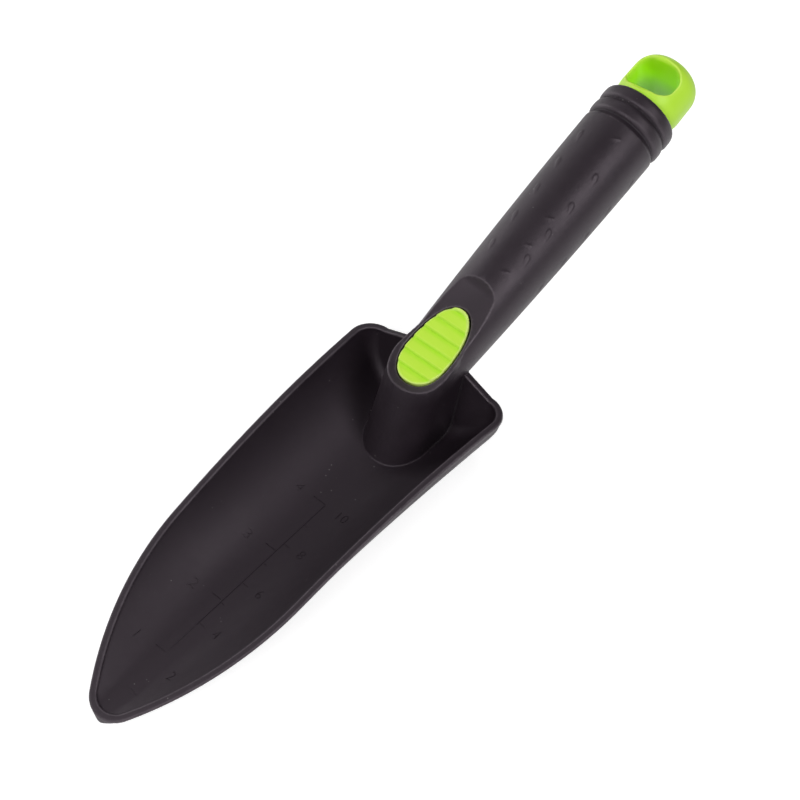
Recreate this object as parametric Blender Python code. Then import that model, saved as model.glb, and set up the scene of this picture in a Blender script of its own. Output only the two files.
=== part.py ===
# Garden trowel: a moulded scoop with its neck and hollow handle, a thumb pad and an end cap
# Metres, +Z up, +X toward the tip, blade lying on the ground and handle raised

import bpy
import bmesh
from math import atan2, ceil, cos, pi, radians, sin, sqrt, tan
from mathutils import Matrix, Vector

MM = 0.001

# Blade, seen from above
BLADE_LENGTH = 164.0 * MM
BLADE_REAR_WIDTH = 65.4 * MM
BLADE_TAPER = 0.0486
BLADE_STRAIGHT = 101.4 * MM
TIP_RADIUS = 9.8 * MM
REAR_CORNER_RADIUS = 9.0 * MM
REAR_SWEEP = 0.097

# Blade, seen from the side, measured up from the inside of the floor
RIM_HEIGHT = 24.3 * MM
RIM_CREST = 36.5 * MM
RIM_REAR_DROP = 1.9 * MM
RIM_TIP_HEIGHT = 0.1 * MM
RIM_FALL_POWER = 1.8
REAR_RIM_RISE = 0.31
REAR_WALL_LEAN = radians(15.0)
REAR_FOOT_FILLET = 5.0 * MM
HEEL_RADIUS = 1.5 * MM
SIDE_WALL_LEAN = radians(11.5)
BOW_WALL_LEAN = radians(68.0)
LEAN_GROWTH = 2.8

# Blade walls
RIM_THICKNESS = 2.6 * MM
RIM_ROUNDING = 0.8 * MM
RIM_ARCH = 0.5
FLOOR_THICKNESS = 3.6 * MM
SOLE_WIDTH = 16.0 * MM
FLOOR_FLAT = 7.0 * MM
SECTION_POWER = 2.15
FLAT_LIMIT = 0.4
LEAN_LIMIT = 0.5
FOOT_FADE = 3

# Neck between the blade's floor and the handle
NECK_FOOT_RADIUS = 11.8 * MM
NECK_TOP_RADIUS = 10.9 * MM
NECK_FOOT_REACH = 22.0 * MM
NECK_LEAN = radians(20.0)
NECK_INSET = 0.8 * MM

# Handle, along its own axis from the thumb rest
HANDLE_TILT = radians(17.7)
HANDLE_AXIS_HEIGHT = 29.7 * MM
HANDLE_SET_BACK = 4.0 * MM
HANDLE_LENGTH = 109.85 * MM
HANDLE_FRONT_RADIUS = 11.9 * MM
HANDLE_REAR_RADIUS = 14.58 * MM
HANDLE_SWELL = 0.57 * MM
HANDLE_ROOT = 15.0 * MM
HANDLE_WALL = 1.6 * MM
BORE_END = 24.0 * MM
BORE_CROWN = 4.5 * MM

# Two rings at the handle's end
RING_RADIUS = 14.75 * MM
RING_WIDTH = 5.95 * MM
RING_GROOVE = 1.3 * MM
RING_FLOOR = 0.5 * MM
RING_RISE = 1.5 * MM
RING_FALL = 2.2 * MM
RING_LEAD = 1.8 * MM
END_DROP = 0.85 * MM

# Thumb rest and pad
REST_DEPTH = 5.9 * MM
REST_RUN = 29.0 * MM
REST_CLIMB = 4.9 * MM
REST_END_START = 17.3 * MM
REST_END_RADIUS = 3.2 * MM
REST_FLAT_START = 7.0 * MM
REST_DISH_RADIUS = 45.0 * MM
LIP_START = 18.0 * MM
LIP_RADIUS = 12.0 * MM
PAD_CENTRE = 9.9 * MM
PAD_FRONT = 11.7 * MM
PAD_REAR = 19.7 * MM
PAD_HALF_WIDTH = 8.6 * MM
PAD_PROUD = 1.0 * MM
PAD_THICKNESS = 3.6 * MM
PAD_POWER = 2.2
PAD_GAP = 0.5 * MM
RIB_PITCH = 5.1 * MM
RIB_STEP = 0.45 * MM
RIB_BACK = 0.85
RIB_SAG = 0.3

# End cap
CAP_LENGTH = 21.5 * MM
CAP_RADIUS = 12.95 * MM
CAP_DRAFT = 0.3 * MM
CAP_CORNER = 8.0 * MM
CAP_CROWN = 0.4 * MM
CAP_TURN = radians(8.0)
PLUG_LENGTH = 10.0 * MM
PLUG_WALL = 1.4 * MM
PLUG_CHAMFER = 0.35 * MM
HOLE_LENGTH = 11.8 * MM
HOLE_WIDTH = 18.6 * MM
HOLE_CORNER = 5.0 * MM
HOLE_START = 4.65 * MM
HOLE_EDGE = 1.8 * MM
HOLE_LEAD = 0.2
CAP_SHOULDER = 1.5 * MM
CAP_SHOULDER_REACH = 6.0 * MM

# Clearance where two pieces meet
SEAT_GAP = 0.3 * MM
OVERRUN = 5.0 * MM

# Facets
CORNER_STEPS = 6
SIDE_STEPS = 9
BOW_STEPS = 13
TIP_STEPS = 5
WALL_STEPS = 13
RIM_STEPS = 5
ROUND_STEPS = 56
NECK_STEPS = 12
HANDLE_STEPS = 8
RING_STEPS = 3
BORE_STEPS = 4
REST_STEPS = 30
REST_ACROSS = 10
SHOULDER_STEPS = 4
CAP_STEPS = 7
HOLE_STEPS = 6
EDGE_STEPS = 4

BLACK_PLASTIC = ("black_plastic", (0.043, 0.039, 0.045, 1.0), 0.48)
LIME_RUBBER = ("lime_rubber", (0.479, 0.787, 0.045, 1.0), 0.55)
LIME_PLASTIC = ("lime_plastic", (0.420, 0.768, 0.045, 1.0), 0.35)


def material(look):
    name, colour, roughness = look
    made = bpy.data.materials.new(name)
    made.use_nodes = True
    shader = made.node_tree.nodes["Principled BSDF"]
    shader.inputs["Base Color"].default_value = colour
    shader.inputs["Roughness"].default_value = roughness
    shader.inputs["Metallic"].default_value = 0.0
    made.diffuse_color = colour
    return made


def add_object(name, bm, look=None, frame=Matrix()):
    bmesh.ops.recalc_face_normals(bm, faces=bm.faces)
    mesh = bpy.data.meshes.new(name)
    bm.to_mesh(mesh)
    bm.free()
    mesh.transform(frame)
    mesh.shade_smooth()
    mesh.set_sharp_from_angle(angle=radians(35.0))
    obj = bpy.data.objects.new(name, mesh)
    bpy.context.collection.objects.link(obj)
    if look:
        mesh.materials.append(material(look))
    else:
        obj.hide_render = True
        obj.display_type = "WIRE"
    return obj


def boolean(obj, other, operation):
    step = obj.modifiers.new(other.name, "BOOLEAN")
    step.operation = operation
    step.object = other
    step.solver = "EXACT"


def bridge(bm, first, second, closed):
    count = len(first)
    for i in range(count if closed else count - 1):
        j = (i + 1) % count
        corners = []
        for vertex in (first[i], first[j], second[j], second[i]):
            if vertex not in corners:
                corners.append(vertex)
        if len(corners) > 2:
            bm.faces.new(corners)


# The blade's outline

REAR_HALF = BLADE_REAR_WIDTH / 2


def bow_circle():
    # Centre and radius of the arc that leaves the straight side and runs into the round tip
    tip_centre = BLADE_LENGTH - TIP_RADIUS
    tilt = atan2(BLADE_TAPER, 1.0)
    across = Vector((sin(tilt), cos(tilt)))
    start = Vector((BLADE_STRAIGHT, REAR_HALF - BLADE_TAPER * BLADE_STRAIGHT))
    gap = start - Vector((tip_centre, 0.0))
    radius = (gap.length_squared - TIP_RADIUS**2) / (2 * (gap.dot(across) - TIP_RADIUS))
    return start - across * radius, radius, tilt


def half_outline(inset):
    # Plan points from the rear corner to the tip, moved in by the inset
    centre, radius, tilt = bow_circle()
    corner_x = REAR_CORNER_RADIUS
    corner_y = REAR_HALF - BLADE_TAPER * corner_x - REAR_CORNER_RADIUS / cos(tilt)
    corner = Vector((corner_x, corner_y))
    points = []
    for i in range(CORNER_STEPS):
        turn = pi - (pi / 2 + tilt) * i / CORNER_STEPS
        points.append(corner + (REAR_CORNER_RADIUS - inset) * Vector((cos(turn), sin(turn))))
    across = Vector((sin(tilt), cos(tilt)))
    first = corner + (REAR_CORNER_RADIUS - inset) * across
    last = centre + (radius - inset) * across
    for i in range(SIDE_STEPS):
        points.append(first.lerp(last, i / SIDE_STEPS))
    tip_centre = Vector((BLADE_LENGTH - TIP_RADIUS, 0.0))
    toward_tip = tip_centre - centre
    end_turn = atan2(toward_tip.y, toward_tip.x)
    start_turn = pi / 2 - tilt
    for i in range(BOW_STEPS):
        turn = start_turn + (end_turn - start_turn) * i / BOW_STEPS
        points.append(centre + (radius - inset) * Vector((cos(turn), sin(turn))))
    for i in range(TIP_STEPS + 1):
        turn = end_turn * (1 - i / TIP_STEPS)
        points.append(tip_centre + (TIP_RADIUS - inset) * Vector((cos(turn), sin(turn))))
    return points


def rim_height(x):
    past = (x - RIM_CREST) / (BLADE_LENGTH - RIM_CREST)
    if past > 0:
        return RIM_HEIGHT - (RIM_HEIGHT - RIM_TIP_HEIGHT) * min(past, 1.0) ** RIM_FALL_POWER
    return RIM_HEIGHT - RIM_REAR_DROP * ((RIM_CREST - x) / RIM_CREST) ** 2


def rear_path(offset, floor, fillet):
    # The middle of the rear wall from its rim down to the floor, offset outward, with a fillet at its foot
    corner_y = half_outline(0.0)[0].y
    top = rim_height(0.0) + REAR_RIM_RISE * corner_y - RIM_ROUNDING
    slope = tan(REAR_WALL_LEAN)
    x_top = -REAR_SWEEP * corner_y + RIM_THICKNESS - offset
    x_foot = x_top + (top - floor) * slope
    turn = pi / 2 - REAR_WALL_LEAN
    reach = fillet * tan(turn / 2)
    arc_x = x_foot + reach
    arc_z = floor + fillet
    start_x = arc_x - fillet * sin(turn)
    start_z = arc_z - fillet * cos(turn)
    points = []
    wall_steps = CORNER_STEPS // 2
    for i in range(wall_steps):
        share = i / wall_steps
        points.append((x_top + (start_x - x_top) * share, top + (start_z - top) * share))
    arc_steps = CORNER_STEPS - wall_steps
    for i in range(arc_steps + 1):
        angle = turn * (1 - i / arc_steps)
        points.append((arc_x - fillet * sin(angle), arc_z - fillet * cos(angle)))
    return points


def section(row, count, rim, middle, flat):
    # One row of points across half of the blade, from the middle to the rim
    x_rim, y_rim, z_rim = rim
    x_mid, z_mid = middle
    wall = max(0.0, 1 - row / CORNER_STEPS)
    height = z_rim - z_mid
    flat = min(flat, FLAT_LIMIT * y_rim)
    along = min(max(x_rim / BLADE_LENGTH, 0.0), 1.0) ** LEAN_GROWTH
    slope = tan(SIDE_WALL_LEAN + (BOW_WALL_LEAN - SIDE_WALL_LEAN) * along)
    lean = min(slope * max(height, 0.0), LEAN_LIMIT * y_rim) * (1 - wall)
    points = [Vector((x_mid, 0.0, z_mid))]
    for i in range(count):
        angle = pi / 2 * i / (count - 1)
        across = sin(angle) ** (2 / SECTION_POWER)
        climb = 1 - max(cos(angle), 0.0) ** (2 / SECTION_POWER)
        share = (flat + (y_rim - flat) * across) / y_rim
        climb += (share - climb) * wall
        y = flat + (y_rim - lean - flat) * across + lean * climb
        points.append(Vector((x_mid + (x_rim - x_mid) * climb, y, z_mid + height * climb)))
    return points


def shell_rows(inset, offset, floor, flat, fillet):
    # Rows of one face of the blade from the rear rim to the tip
    outline = half_outline(inset)
    rear = rear_path(offset, floor, fillet)
    foot = rear[-1][0]
    rows = []
    for k, plan in enumerate(outline):
        if k <= CORNER_STEPS:
            middle = rear[k]
        else:
            share = (plan.x - outline[CORNER_STEPS].x) / (outline[-1].x - outline[CORNER_STEPS].x)
            middle = (plan.x + (foot - outline[CORNER_STEPS].x) * (1 - share) ** FOOT_FADE, floor)
        z = rim_height(plan.x) - RIM_ROUNDING
        if k == len(outline) - 1:
            rows.append([Vector((plan.x, 0.0, z))])
            continue
        rows.append(section(k, WALL_STEPS, (plan.x, plan.y, z), middle, flat))
    return rows


def mirrored(bm, row):
    # Vertices of a whole row, from the left rim over the middle to the right rim
    right = [bm.verts.new(point) for point in row]
    left = [bm.verts.new((point.x, -point.y, point.z)) for point in row[:0:-1]]
    return left + right


def blade():
    bm = bmesh.new()
    faces = []
    for face in (
        (0.0, RIM_THICKNESS, -FLOOR_THICKNESS, SOLE_WIDTH / 2, HEEL_RADIUS),
        (RIM_THICKNESS, 0.0, 0.0, FLOOR_FLAT / 2, REAR_FOOT_FILLET),
    ):
        rows = [mirrored(bm, row) for row in shell_rows(*face)]
        for first, second in zip(rows, rows[1:-1]):
            bridge(bm, first, second, False)
        tip = rows[-1][0]
        for one, two in zip(rows[-2], rows[-2][1:]):
            bm.faces.new((one, two, tip))
        rim = [row[-1] for row in rows[:-1]] + [tip] + [row[0] for row in rows[-2:0:-1]]
        faces.append(rim + rows[0][:-1])
    outer, inner = faces
    loops = [outer]
    # The rim's rounded top, as a flat arch over the wall's thickness
    for i in range(1, RIM_STEPS):
        turn = pi * i / RIM_STEPS
        loop = []
        for one, two in zip(outer, inner):
            point = one.co.lerp(two.co, (1 - cos(turn)) / 2)
            point.z += RIM_ROUNDING * sin(turn) ** RIM_ARCH
            loop.append(bm.verts.new(point))
        loops.append(loop)
    loops.append(inner)
    for first, second in zip(loops, loops[1:]):
        bridge(bm, first, second, True)
    return bm


# The neck and the handle's own frame

REST_LEVEL = HANDLE_FRONT_RADIUS - REST_DEPTH
HANDLE_AXIS = Matrix.Translation((-HANDLE_SET_BACK, 0.0, HANDLE_AXIS_HEIGHT)) @ Matrix(
    (
        (-cos(HANDLE_TILT), 0.0, sin(HANDLE_TILT), 0.0),
        (0.0, -1.0, 0.0, 0.0),
        (sin(HANDLE_TILT), 0.0, cos(HANDLE_TILT), 0.0),
        (0.0, 0.0, 0.0, 1.0),
    )
)


def handle_radius(s):
    share = s / HANDLE_LENGTH
    straight = HANDLE_FRONT_RADIUS + (HANDLE_REAR_RADIUS - HANDLE_FRONT_RADIUS) * share
    return straight + 4 * HANDLE_SWELL * share * (1 - share)


def wall_at(z):
    # Where the rear wall's inner face stands at one height
    path = rear_path(0.0, 0.0, REAR_FOOT_FILLET)
    if z >= path[0][1]:
        return path[0][0]
    for (x_up, z_up), (x_down, z_down) in zip(path, path[1:]):
        if z >= z_down:
            return x_down + (x_up - x_down) * (z - z_down) / (z_up - z_down)
    return path[-1][0]


def neck():
    bm = bmesh.new()
    top = HANDLE_AXIS_HEIGHT + HANDLE_FRONT_RADIUS
    bottom = -FLOOR_THICKNESS / 2
    cut_half = sqrt(handle_radius(0.0) ** 2 - REST_LEVEL**2) - NECK_INSET
    rows = []
    for i in range(NECK_STEPS + 1):
        z = bottom + (top - bottom) * i / NECK_STEPS
        radius = NECK_FOOT_RADIUS + (NECK_TOP_RADIUS - NECK_FOOT_RADIUS) * z / top
        centre = NECK_FOOT_REACH - tan(NECK_LEAN) * z
        back = min(wall_at(z) - RIM_THICKNESS / 2, centre)
        share = min(max((z - HANDLE_AXIS_HEIGHT) / REST_LEVEL, 0.0), 1.0)
        half = radius + (cut_half - radius) * share
        row = [bm.verts.new((back, -half, z))]
        arc = ROUND_STEPS // 2
        for j in range(arc + 1):
            turn = -pi / 2 + pi * j / arc
            row.append(bm.verts.new((centre + radius * cos(turn), radius * sin(turn), z)))
        row.append(bm.verts.new((back, half, z)))
        rows.append(row)
    for first, second in zip(rows, rows[1:]):
        bridge(bm, first, second, True)
    bm.faces.new(rows[0])
    bm.faces.new(rows[-1])
    return bm


def turned(profile, name, look=None):
    # A solid turned about the handle's axis from (s, r) points that begin and end on it
    bm = bmesh.new()
    start = pi / ROUND_STEPS
    verts = [bm.verts.new((s, r * sin(start), r * cos(start))) for s, r in profile]
    edges = [bm.edges.new(pair) for pair in zip(verts, verts[1:])]
    bmesh.ops.spin(
        bm,
        geom=verts + edges,
        cent=(0.0, 0.0, 0.0),
        axis=(1.0, 0.0, 0.0),
        angle=2 * pi,
        steps=ROUND_STEPS,
        use_merge=True,
    )
    bmesh.ops.remove_doubles(bm, verts=bm.verts, dist=0.001 * MM)
    return add_object(name, bm, look, HANDLE_AXIS)


def ring_profile(start, drop):
    # One ring that rises steeply from its groove on the blade's side and rounds off toward the end
    groove = RING_RADIUS - RING_GROOVE
    points = [(start, groove)]
    for i in range(RING_STEPS + 1):
        turn = pi / 2 * i / RING_STEPS
        points.append((start + RING_FLOOR + RING_RISE * (1 - cos(turn)), groove + RING_GROOVE * sin(turn)))
    for i in range(RING_STEPS + 1):
        turn = pi / 2 * i / RING_STEPS
        s = start + RING_WIDTH - RING_FALL * (1 - sin(turn))
        points.append((s, RING_RADIUS - drop * (1 - cos(turn))))
    return points


def handle():
    rings_start = HANDLE_LENGTH - 2 * RING_WIDTH
    lead = rings_start - RING_LEAD
    profile = [(-HANDLE_ROOT, 0.0), (-HANDLE_ROOT, handle_radius(-HANDLE_ROOT))]
    for i in range(1, HANDLE_STEPS + 1):
        s = -HANDLE_ROOT + (lead + HANDLE_ROOT) * i / HANDLE_STEPS
        profile.append((s, handle_radius(s)))
    profile += ring_profile(rings_start, RING_GROOVE)
    profile += ring_profile(rings_start + RING_WIDTH, END_DROP)[1:]
    profile += [(HANDLE_LENGTH, 0.0)]
    return turned(profile, "handle_shape")


def bore_radius(s):
    return handle_radius(s) - HANDLE_WALL


def bore():
    # A core with a rounded end, straight where the cap's plug goes in
    mouth = bore_radius(HANDLE_LENGTH)
    start = bore_radius(BORE_END)
    profile = []
    for i in range(BORE_STEPS + 1):
        turn = pi / 2 * i / BORE_STEPS
        profile.append((BORE_END - BORE_CROWN * cos(turn), start * sin(turn)))
    profile += [(HANDLE_LENGTH - PLUG_LENGTH - OVERRUN, mouth)]
    profile += [(HANDLE_LENGTH + OVERRUN, mouth), (HANDLE_LENGTH + OVERRUN, 0.0)]
    return turned(profile, "bore_cutter")


# The thumb rest, its pocket and the pad

REST_ARC_RADIUS = (REST_RUN**2 + REST_CLIMB**2) / (2 * REST_CLIMB)


def rest_height(s, y):
    rise = s + REST_FLAT_START
    level = REST_LEVEL + y * y / (2 * REST_DISH_RADIUS)
    if rise > 0:
        level += REST_ARC_RADIUS - sqrt(max(REST_ARC_RADIUS**2 - rise**2, 0.0))
    end = s - REST_END_START
    if end > 0:
        level += end**2 / (2 * REST_END_RADIUS)
    lip = -s - LIP_START
    if lip > 0:
        level += lip**2 / (2 * LIP_RADIUS)
    return level


def rest_cutter():
    bm = bmesh.new()
    front = -LIP_START - LIP_RADIUS
    back = REST_RUN - REST_FLAT_START + OVERRUN
    half = HANDLE_REAR_RADIUS + OVERRUN
    rows = []
    for i in range(REST_STEPS + 1):
        s = front + (back - front) * i / REST_STEPS
        top = max(rest_height(s, half), HANDLE_REAR_RADIUS) + OVERRUN
        low = []
        for j in range(REST_ACROSS + 1):
            y = half * (2 * j / REST_ACROSS - 1)
            low.append(bm.verts.new((s, y, rest_height(s, y))))
        rows.append(low + [bm.verts.new((s, half, top)), bm.verts.new((s, -half, top))])
    for first, second in zip(rows, rows[1:]):
        bridge(bm, first, second, True)
    bm.faces.new(rows[0])
    bm.faces.new(rows[-1])
    return add_object("rest_cutter", bm, frame=HANDLE_AXIS)


def egg(bm, grow, level):
    # The pad's egg outline at one level of the handle's frame
    points = []
    for i in range(ROUND_STEPS):
        turn = 2 * pi * i / ROUND_STEPS
        along, across = cos(turn), sin(turn)
        reach = (PAD_REAR if along > 0 else PAD_FRONT) + grow
        half = PAD_HALF_WIDTH + grow
        along = abs(along) ** (2 / PAD_POWER) * (1 if along > 0 else -1)
        across = abs(across) ** (2 / PAD_POWER) * (1 if across > 0 else -1)
        points.append(bm.verts.new((reach * along - PAD_CENTRE, half * across, level)))
    return points


def egg_block(name, grow, low, high, look=None):
    bm = bmesh.new()
    rows = [egg(bm, grow, low), egg(bm, grow, high)]
    bridge(bm, rows[0], rows[1], True)
    bm.faces.new(rows[0])
    bm.faces.new(rows[1])
    return add_object(name, bm, look, HANDLE_AXIS)


PAD_TOP = REST_LEVEL + PAD_PROUD
PAD_BOTTOM = PAD_TOP - PAD_THICKNESS
POCKET_TOP = HANDLE_REAR_RADIUS + OVERRUN


def rib_cutter():
    # Everything above the pad's stepped face, which follows the thumb rest's curve
    bm = bmesh.new()
    half = PAD_HALF_WIDTH + OVERRUN
    top = HANDLE_REAR_RADIUS + OVERRUN
    front = -PAD_CENTRE - PAD_FRONT
    count = ceil((PAD_FRONT + PAD_REAR) / RIB_PITCH) + 1
    profile = []
    for i in range(-1, count):
        start = front + RIB_PITCH * i
        for place, drop in ((0.0, 0.0), (RIB_BACK / 2, RIB_SAG), (RIB_BACK, 1.0)):
            s = start + RIB_PITCH * place
            profile.append((s, rest_height(s, 0.0) + PAD_PROUD - RIB_STEP * drop))
    profile += [(profile[-1][0], top), (profile[0][0], top)]
    rows = [[bm.verts.new((s, y, h)) for s, h in profile] for y in (-half, half)]
    bridge(bm, rows[0], rows[1], True)
    bm.faces.new(rows[0])
    bm.faces.new(rows[1])
    return add_object("rib_cutter", bm, frame=HANDLE_AXIS)


# The end cap

CAP_END = HANDLE_LENGTH + CAP_LENGTH


def cap_radius(s):
    # The cap's outside, spreading from its seat and tapering a little to its round end
    start = HANDLE_LENGTH + SEAT_GAP
    past = s - (CAP_END - CAP_CORNER)
    if past > 0:
        return CAP_RADIUS - CAP_DRAFT - CAP_CORNER + sqrt(max(CAP_CORNER**2 - past**2, 0.0))
    spread = max(1 - (s - start) / CAP_SHOULDER_REACH, 0.0)
    draft = CAP_DRAFT * (s - start) / (CAP_END - CAP_CORNER - start)
    return CAP_RADIUS - draft - CAP_SHOULDER * spread**2


def cap_profile():
    start = HANDLE_LENGTH + SEAT_GAP
    plug = bore_radius(HANDLE_LENGTH) - SEAT_GAP
    plug_end = HANDLE_LENGTH - PLUG_LENGTH
    profile = [(start, 0.0), (start, plug - PLUG_WALL), (plug_end, plug - PLUG_WALL)]
    profile += [(plug_end, plug - PLUG_CHAMFER), (plug_end + 2 * PLUG_CHAMFER, plug)]
    profile.append((start, plug))
    for i in range(SHOULDER_STEPS):
        s = start + CAP_SHOULDER_REACH * i / SHOULDER_STEPS
        profile.append((s, cap_radius(s)))
    for i in range(CAP_STEPS + 1):
        s = CAP_END - CAP_CORNER * (1 - sin(pi / 2 * i / CAP_STEPS))
        profile.append((s, cap_radius(s)))
    profile.append((CAP_END + CAP_CROWN, 0.0))
    return profile


def hole_cutter():
    # The hanging slot, flared where it meets the cap's round outside and turned with the cap
    bm = bmesh.new()
    centre = HANDLE_LENGTH + HOLE_START + HOLE_LENGTH / 2
    corner = min(HOLE_CORNER, HOLE_LENGTH / 2, HOLE_WIDTH / 2)
    # Depths below the cap's outside as shares of the flare, the last one past it
    levels = [(1 - i / EDGE_STEPS) ** 2 for i in range(EDGE_STEPS)] + [-HOLE_LEAD]
    rows = [[] for _ in range(2 * len(levels) + 2)]
    middle = len(rows) // 2
    for quarter in range(4):
        side = (1, -1, -1, 1)[quarter], (1, 1, -1, -1)[quarter]
        for i in range(HOLE_STEPS + 1):
            turn = pi / 2 * (quarter + i / HOLE_STEPS)
            out = Vector((cos(turn), sin(turn)))
            s = centre + side[0] * (HOLE_LENGTH / 2 - corner) + corner * out.x
            y = side[1] * (HOLE_WIDTH / 2 - corner) + corner * out.y
            mouth = sqrt(cap_radius(s) ** 2 - y * y)
            heights = [mouth - HOLE_EDGE * depth for depth in levels] + [CAP_RADIUS + OVERRUN]
            for j, h in enumerate(heights):
                depth = max(levels[min(j, len(levels) - 1)], 0.0)
                edge = HOLE_EDGE * (1 - sqrt(max(1 - (1 - depth) ** 2, 0.0)))
                place = Vector((s, y)) + out * edge
                rows[middle + j].append(bm.verts.new((place.x, place.y, h)))
                rows[middle - 1 - j].append(bm.verts.new((place.x, place.y, -h)))
    for first, second in zip(rows, rows[1:]):
        bridge(bm, first, second, True)
    bm.faces.new(rows[0])
    bm.faces.new(rows[-1])
    return add_object("hole_cutter", bm, frame=HANDLE_AXIS @ Matrix.Rotation(-CAP_TURN, 4, "X"))


for old in list(bpy.data.objects):
    bpy.data.objects.remove(old)

moulding = add_object("trowel_moulding", blade(), BLACK_PLASTIC)
boolean(moulding, handle(), "UNION")
boolean(moulding, add_object("neck_shape", neck()), "UNION")
boolean(moulding, rest_cutter(), "DIFFERENCE")
boolean(moulding, egg_block("pocket_cutter", PAD_GAP, PAD_BOTTOM - SEAT_GAP, POCKET_TOP), "DIFFERENCE")
boolean(moulding, bore(), "DIFFERENCE")

pad = egg_block("thumb_pad", 0.0, PAD_BOTTOM, HANDLE_REAR_RADIUS, LIME_RUBBER)
boolean(pad, rib_cutter(), "DIFFERENCE")

cap = turned(cap_profile(), "end_cap", LIME_PLASTIC)
boolean(cap, hole_cutter(), "DIFFERENCE")

# The whole tool stands with its origin under its middle
root = bpy.data.objects.new("trowel", None)
bpy.context.collection.objects.link(root)
for obj in list(bpy.data.objects):
    if obj is not root:
        obj.parent = root
bpy.context.view_layer.update()
graph = bpy.context.evaluated_depsgraph_get()
reach = []
for obj in (moulding, pad, cap):
    reach += [v.co.x for v in obj.evaluated_get(graph).data.vertices]
root.location = (-(min(reach) + max(reach)) / 2, 0.0, FLOOR_THICKNESS)
bpy.context.view_layer.update()
print("root", tuple(round(v, 6) for v in root.location))
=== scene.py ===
# Garden trowel: black moulded scoop and grip, lime thumb pad, lime hanging cap

from math import atan2, ceil, cos, pi, radians, sin, sqrt, tan

import bmesh
import bpy
import numpy as np
from mathutils import Matrix, Vector
from mathutils.bvhtree import BVHTree
from mathutils.kdtree import KDTree


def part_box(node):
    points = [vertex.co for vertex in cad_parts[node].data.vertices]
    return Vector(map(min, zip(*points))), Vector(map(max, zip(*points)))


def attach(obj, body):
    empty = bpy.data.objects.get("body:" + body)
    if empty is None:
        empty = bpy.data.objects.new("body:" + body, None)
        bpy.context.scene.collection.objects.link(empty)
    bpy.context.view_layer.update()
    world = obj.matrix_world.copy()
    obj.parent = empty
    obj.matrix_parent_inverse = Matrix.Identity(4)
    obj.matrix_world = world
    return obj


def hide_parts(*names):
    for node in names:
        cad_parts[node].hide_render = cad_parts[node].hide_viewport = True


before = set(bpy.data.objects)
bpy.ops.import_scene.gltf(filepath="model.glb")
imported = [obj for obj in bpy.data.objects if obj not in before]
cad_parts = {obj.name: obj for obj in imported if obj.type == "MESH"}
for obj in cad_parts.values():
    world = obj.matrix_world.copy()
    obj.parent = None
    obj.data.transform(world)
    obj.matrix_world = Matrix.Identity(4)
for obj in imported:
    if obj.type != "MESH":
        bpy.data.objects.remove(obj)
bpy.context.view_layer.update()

mm = 0.001

# Small helpers. All sizes are in millimetres from the middle of the blade's rear edge,
# tip toward +X, until placed() moves them to the frame


def quarterTurn(steps):
    # Sines and cosines over a quarter of a circle
    return [(sin(pi / 2 * i / steps), cos(pi / 2 * i / steps)) for i in range(steps + 1)]


def turnedOut(bm):
    # Every separate part of the mesh faces outward, told by the sign of its own volume
    bmesh.ops.recalc_face_normals(bm, faces=bm.faces)
    left = set(bm.faces)
    for start in list(bm.faces):
        part, waiting = [], [start] if start in left else []
        left.discard(start)
        while waiting:
            face = waiting.pop()
            part.append(face)
            for side in face.edges:
                for other in side.link_faces:
                    if other in left:
                        left.remove(other)
                        waiting.append(other)
        if sum(face.calc_center_median().dot(face.normal) * face.calc_area() for face in part) < 0:
            bmesh.ops.reverse_faces(bm, faces=part)


def added(name, data):
    # A new object, linked into the scene
    made = bpy.data.objects.new(name, data)
    bpy.context.scene.collection.objects.link(made)
    return made


def placed(name, bm, turn=Matrix()):
    turnedOut(bm)
    mesh = bpy.data.meshes.new(name)
    bm.to_mesh(mesh)
    bm.free()
    mesh.transform(toRow @ turn)
    return added(name, mesh)


def skin(bm, rows, closed=True):
    # Faces between each row of points and the next
    count = len(rows[0])
    for first, second in zip(rows, rows[1:]):
        for i in range(count if closed else count - 1):
            j = (i + 1) % count
            corners = []
            for vertex in (first[i], first[j], second[j], second[i]):
                if vertex not in corners:
                    corners.append(vertex)
            if len(corners) > 2:
                bm.faces.new(corners)


def loft(bm, rows):
    # A closed solid through rings of points
    skin(bm, rows)
    bm.faces.new(rows[0])
    bm.faces.new(rows[-1])


def applied(piece):
    # The piece's modifiers become its mesh
    graph = bpy.context.evaluated_depsgraph_get()
    mesh = bpy.data.meshes.new_from_object(piece.evaluated_get(graph))
    old = piece.data
    piece.modifiers.clear()
    piece.data = mesh
    bpy.data.meshes.remove(old)


def carve(piece, tool, operation="DIFFERENCE"):
    step = piece.modifiers.new("carve", "BOOLEAN")
    step.operation = operation
    step.object = tool
    step.solver = "MANIFOLD"
    applied(piece)
    bpy.data.objects.remove(tool)
    return piece


def softened(piece, voxel, rounds):
    # Even small faces all over, with every edge a little rounded as a mould leaves it
    remesh = piece.modifiers.new("remesh", "REMESH")
    remesh.mode = "VOXEL"
    remesh.voxel_size = voxel * mm
    smooth = piece.modifiers.new("smooth", "SMOOTH")
    smooth.factor = 0.5
    smooth.iterations = rounds
    applied(piece)


def thinned(piece, most):
    piece.data.calc_loop_triangles()
    count = len(piece.data.loop_triangles)
    if count > most:
        thin = piece.modifiers.new("thin", "DECIMATE")
        thin.ratio = most / count
        applied(piece)


# The blade

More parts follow.
